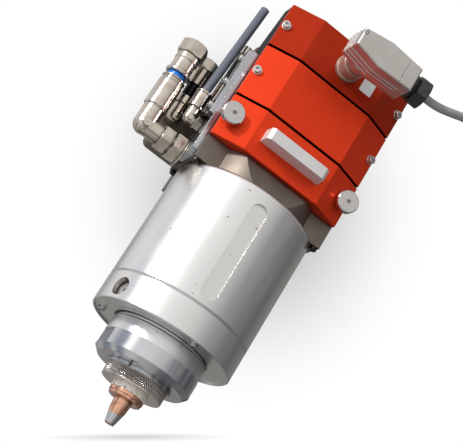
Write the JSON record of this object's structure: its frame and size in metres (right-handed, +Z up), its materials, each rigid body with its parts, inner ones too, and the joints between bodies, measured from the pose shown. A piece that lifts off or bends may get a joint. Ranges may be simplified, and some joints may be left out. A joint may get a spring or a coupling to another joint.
{
  "type": "laser bevel cutting head",
  "caption": "Laser bevel cutting head with red front covers, window drawer, satin barrel, copper nozzle, gas fittings and angled connector.",
  "frame": {"origin": "centre of the top flange's face, on the beam axis", "axes": "+Z up the beam axis, away from the nozzle; -Y towards the front with the drawer; +X to the right seen from the front"},
  "size_m": [0.2779, 0.145, 0.3063],
  "materials": {
    "red_anodised": "satin",
    "black_anodised": "satin",
    "grey_blasted": "bead blasted",
    "satin_aluminium": "satin",
    "machined_aluminium": "brushed",
    "bright_steel": "turned",
    "stainless_screws": "bright",
    "nickel_brass": "nickel plated",
    "copper": "turned",
    "ceramic_white": "matte",
    "optical_glass": "polished",
    "black_rubber": "matte",
    "hood_metal": "satin",
    "black_plastic": "matte",
    "blue_plastic": "gloss",
    "clear_tube": "clear",
    "grey_cable": "satin"
  },
  "bodies": {
    "head": {"optics_housing": "black_anodised", "top_flange": "machined_aluminium", "rear_mounting_plate": "grey_blasted", "upper_cover": "red_anodised", "middle_cover": "red_anodised", "cover_screws": "stainless_screws", "cover_washers": "stainless_screws", "collimating_lens": "optical_glass", "collimating_lens_mount": "black_anodised", "focus_motor": "black_plastic", "spindle_bearing": "nickel_brass", "gas_cone": "machined_aluminium", "gas_cone_seal": "black_rubber", "centring_clamp_ring": "machined_aluminium", "transition_block": "grey_blasted", "lower_screws": "stainless_screws", "barrel": "satin_aluminium", "lower_ring": "satin_aluminium", "neck_ring": "machined_aluminium", "steel_ring": "bright_steel", "ceramic_ring": "ceramic_white", "connector_receptacle": "nickel_brass", "connector_hood": "hood_metal", "connector_gland": "black_plastic", "connector_lead": "grey_cable", "lead_plug": "black_plastic", "manifold_inner_plate": "machined_aluminium", "manifold_outer_plate": "machined_aluminium", "manifold_screws": "stainless_screws", "gas_inlet_ring": "nickel_brass", "gas_inlet_nut": "nickel_brass", "gas_inlet_elbow": "nickel_brass", "coupling_lock_ring": "blue_plastic", "coupling_plug": "nickel_brass", "coupling_plug_nut": "nickel_brass", "push_in_elbow": "nickel_brass", "release_collar": "nickel_brass", "air_tube": "clear_tube", "pressure_sensor": "black_plastic", "sensor_ferrules": "nickel_brass", "centring_bushes": "nickel_brass", "centring_seals": "black_rubber", "rear_gas_fitting": "nickel_brass"},
    "drawer": {"drawer_front": "red_anodised", "drawer_handle": "machined_aluminium", "window_tray": "machined_aluminium", "window_seal": "black_rubber", "protective_window": "optical_glass", "window_retainer": "black_anodised"},
    "left_thumb": {"left_thumb_screw": "stainless_screws"},
    "right_thumb": {"right_thumb_screw": "stainless_screws"},
    "focus_slide": {"focus_carriage": "black_anodised", "focusing_lens": "optical_glass"},
    "spindle": {"focus_spindle": "bright_steel"},
    "nut": {"clamping_nut": "bright_steel"},
    "nozzle_body": {"nozzle": "copper"},
    "connector_ring": {"connector_coupling_ring": "nickel_brass"},
    "sleeve": {"coupling_sleeve": "nickel_brass"},
    "centring_1": {"centring_screw_1": "stainless_screws"},
    "centring_2": {"centring_screw_2": "stainless_screws"}
  },
  "joints": [
    {"name": "drawer_pull", "type": "slide", "parent": "head", "child": "drawer", "axis": [0, -1, 0], "range_m": [0, 0.06]},
    {"name": "left_thumb_turn", "type": "hinge", "parent": "drawer", "child": "left_thumb", "pos_m": [-0.0496, -0.0385, -0.0979], "axis": [0, -1, 0], "range_deg": [0, 2160]},
    {"name": "right_thumb_turn", "type": "hinge", "parent": "drawer", "child": "right_thumb", "pos_m": [0.0496, -0.0385, -0.0979], "axis": [0, -1, 0], "range_deg": [0, 2160]},
    {"name": "spindle_turn", "type": "hinge", "parent": "head", "child": "spindle", "pos_m": [0, -0.0295, -0.06], "axis": [0, 0, 1], "range_deg": [-2880, 2880]},
    {"name": "focus_travel", "type": "slide", "parent": "head", "child": "focus_slide", "axis": [0, 0, 1], "range_m": [-0.007, 0.007]},
    {"name": "nut_turn", "type": "hinge", "parent": "head", "child": "nut", "pos_m": [0, 0, -0.2763], "axis": [0, 0, -1], "range_deg": [0, 1800]},
    {"name": "nozzle_turn", "type": "hinge", "parent": "head", "child": "nozzle_body", "pos_m": [0, 0, -0.2863], "axis": [0, 0, -1], "range_deg": [0, 1800]},
    {"name": "connector_ring_turn", "type": "hinge", "parent": "head", "child": "connector_ring", "pos_m": [0.0005, -0.046, -0.0189], "axis": [0, -1, 0], "range_deg": [0, 720]},
    {"name": "sleeve_slide", "type": "slide", "parent": "head", "child": "sleeve", "axis": [0, 0, -1], "range_m": [0, 0.004], "stiffness_N_per_m": 400, "springref_m": -0.002},
    {"name": "centring_turn_1", "type": "hinge", "parent": "head", "child": "centring_1", "pos_m": [-0.04114, -0.01945, -0.2342], "axis": [-0.9041, -0.4274, 0], "range_deg": [-360, 360]},
    {"name": "centring_turn_2", "type": "hinge", "parent": "head", "child": "centring_2", "pos_m": [-0.01945, 0.04114, -0.2342], "axis": [-0.4274, 0.9041, 0], "range_deg": [-360, 360]}
  ],
  "couplings": [
    {"joint": "spindle_turn", "follows": "focus_travel", "rad_per_m": 6283.2}
  ]
}
